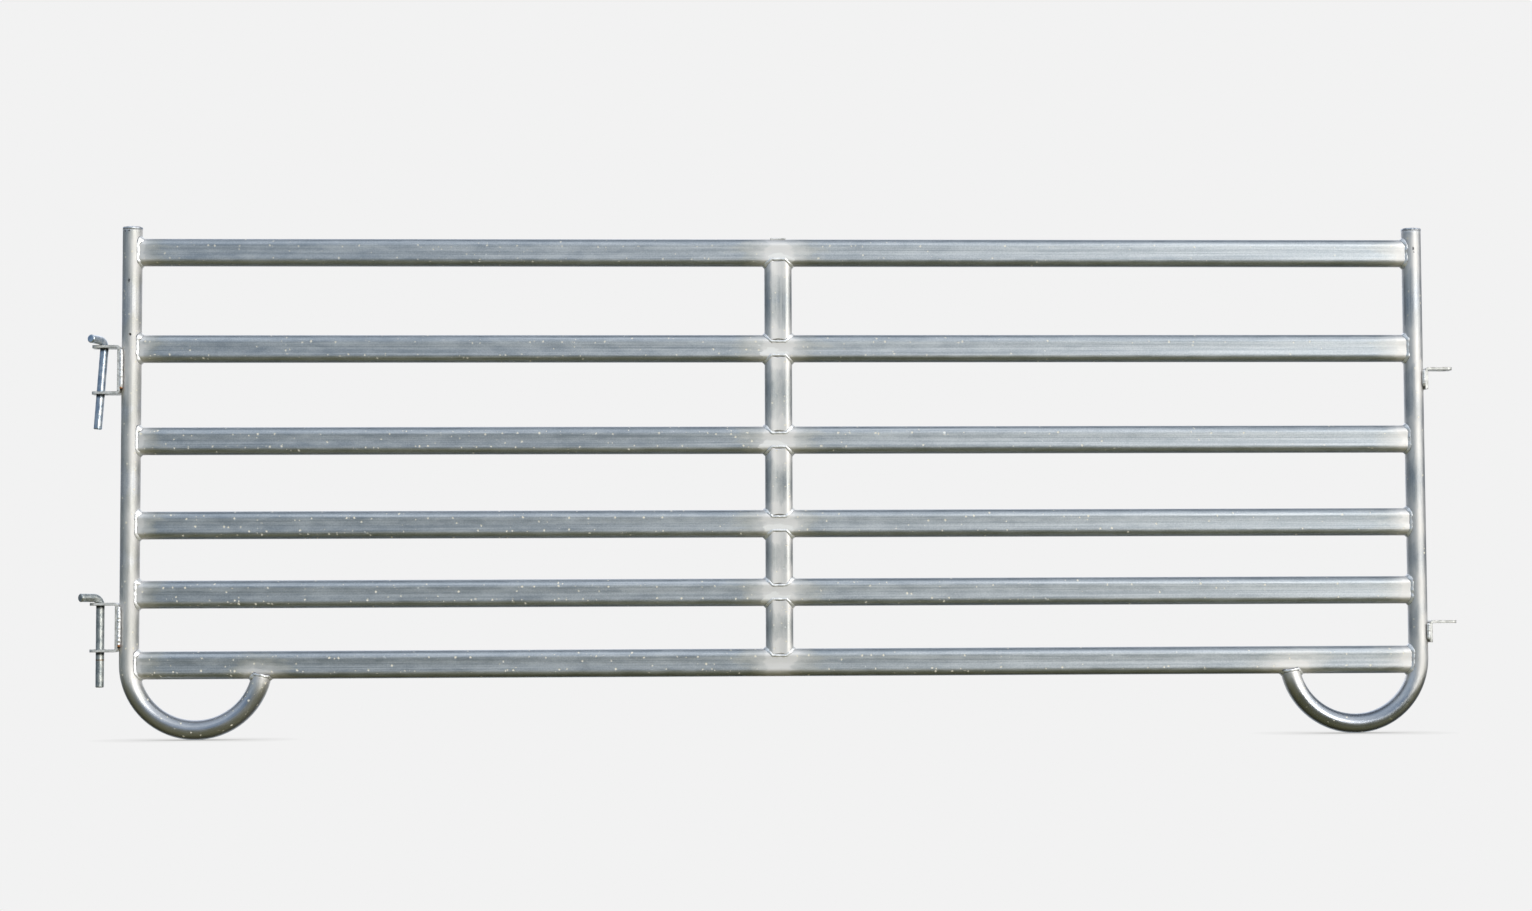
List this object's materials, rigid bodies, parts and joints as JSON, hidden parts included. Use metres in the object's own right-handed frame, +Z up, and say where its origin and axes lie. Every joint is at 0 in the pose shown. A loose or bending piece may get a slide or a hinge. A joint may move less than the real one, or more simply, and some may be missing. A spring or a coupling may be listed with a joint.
{
  "type": "sheep panel",
  "caption": "Livestock hurdle of flat-oval rails welded between two bent tube posts, with drop pins at one end and eye lugs at the other to couple panels in a row.",
  "frame": {"origin": "on the ground under the middle of the panel, midway between the posts and in their plane", "axes": "+X along the panel to the end with the eye lugs, +Y to the back, +Z up"},
  "size_m": [2.9855, 0.0736, 1.11],
  "materials": {
    "galvanised_tube": "zinc coated, satin",
    "galvanised_plate": "zinc coated, satin",
    "galvanised_pin": "zinc coated, rough",
    "weld_bead": "as welded, bright"
  },
  "bodies": {
    "panel": {"left_post": "galvanised_tube", "right_post": "galvanised_tube", "bottom_rail": "galvanised_tube", "lower_rail": "galvanised_tube", "lower_middle_rail": "galvanised_tube", "upper_middle_rail": "galvanised_tube", "upper_rail": "galvanised_tube", "top_rail": "galvanised_tube", "bottom_upright": "galvanised_tube", "lower_upright": "galvanised_tube", "middle_upright": "galvanised_tube", "upper_upright": "galvanised_tube", "top_upright": "galvanised_tube", "lower_pin_bracket": "galvanised_plate", "upper_pin_bracket": "galvanised_plate", "lower_eye_lug": "galvanised_plate", "upper_eye_lug": "galvanised_plate", "left_post_cap": "galvanised_plate", "right_post_cap": "galvanised_plate", "top_rail_tab": "galvanised_plate", "left_rail_welds": "weld_bead", "right_rail_welds": "weld_bead", "left_foot_weld": "weld_bead", "right_foot_weld": "weld_bead", "upright_welds": "weld_bead", "bracket_welds": "weld_bead", "lug_welds": "weld_bead"},
    "lower_pin": {"lower_drop_pin": "galvanised_pin"},
    "upper_pin": {"upper_drop_pin": "galvanised_pin"}
  },
  "joints": [
    {"name": "lower_pin_lift", "type": "slide", "parent": "panel", "child": "lower_pin", "axis": [0, 0, 1], "range_m": [0, 0.185]},
    {"name": "upper_pin_lift", "type": "slide", "parent": "panel", "child": "upper_pin", "axis": [0.0725, 0, 0.9974], "range_m": [0, 0.185]}
  ]
}
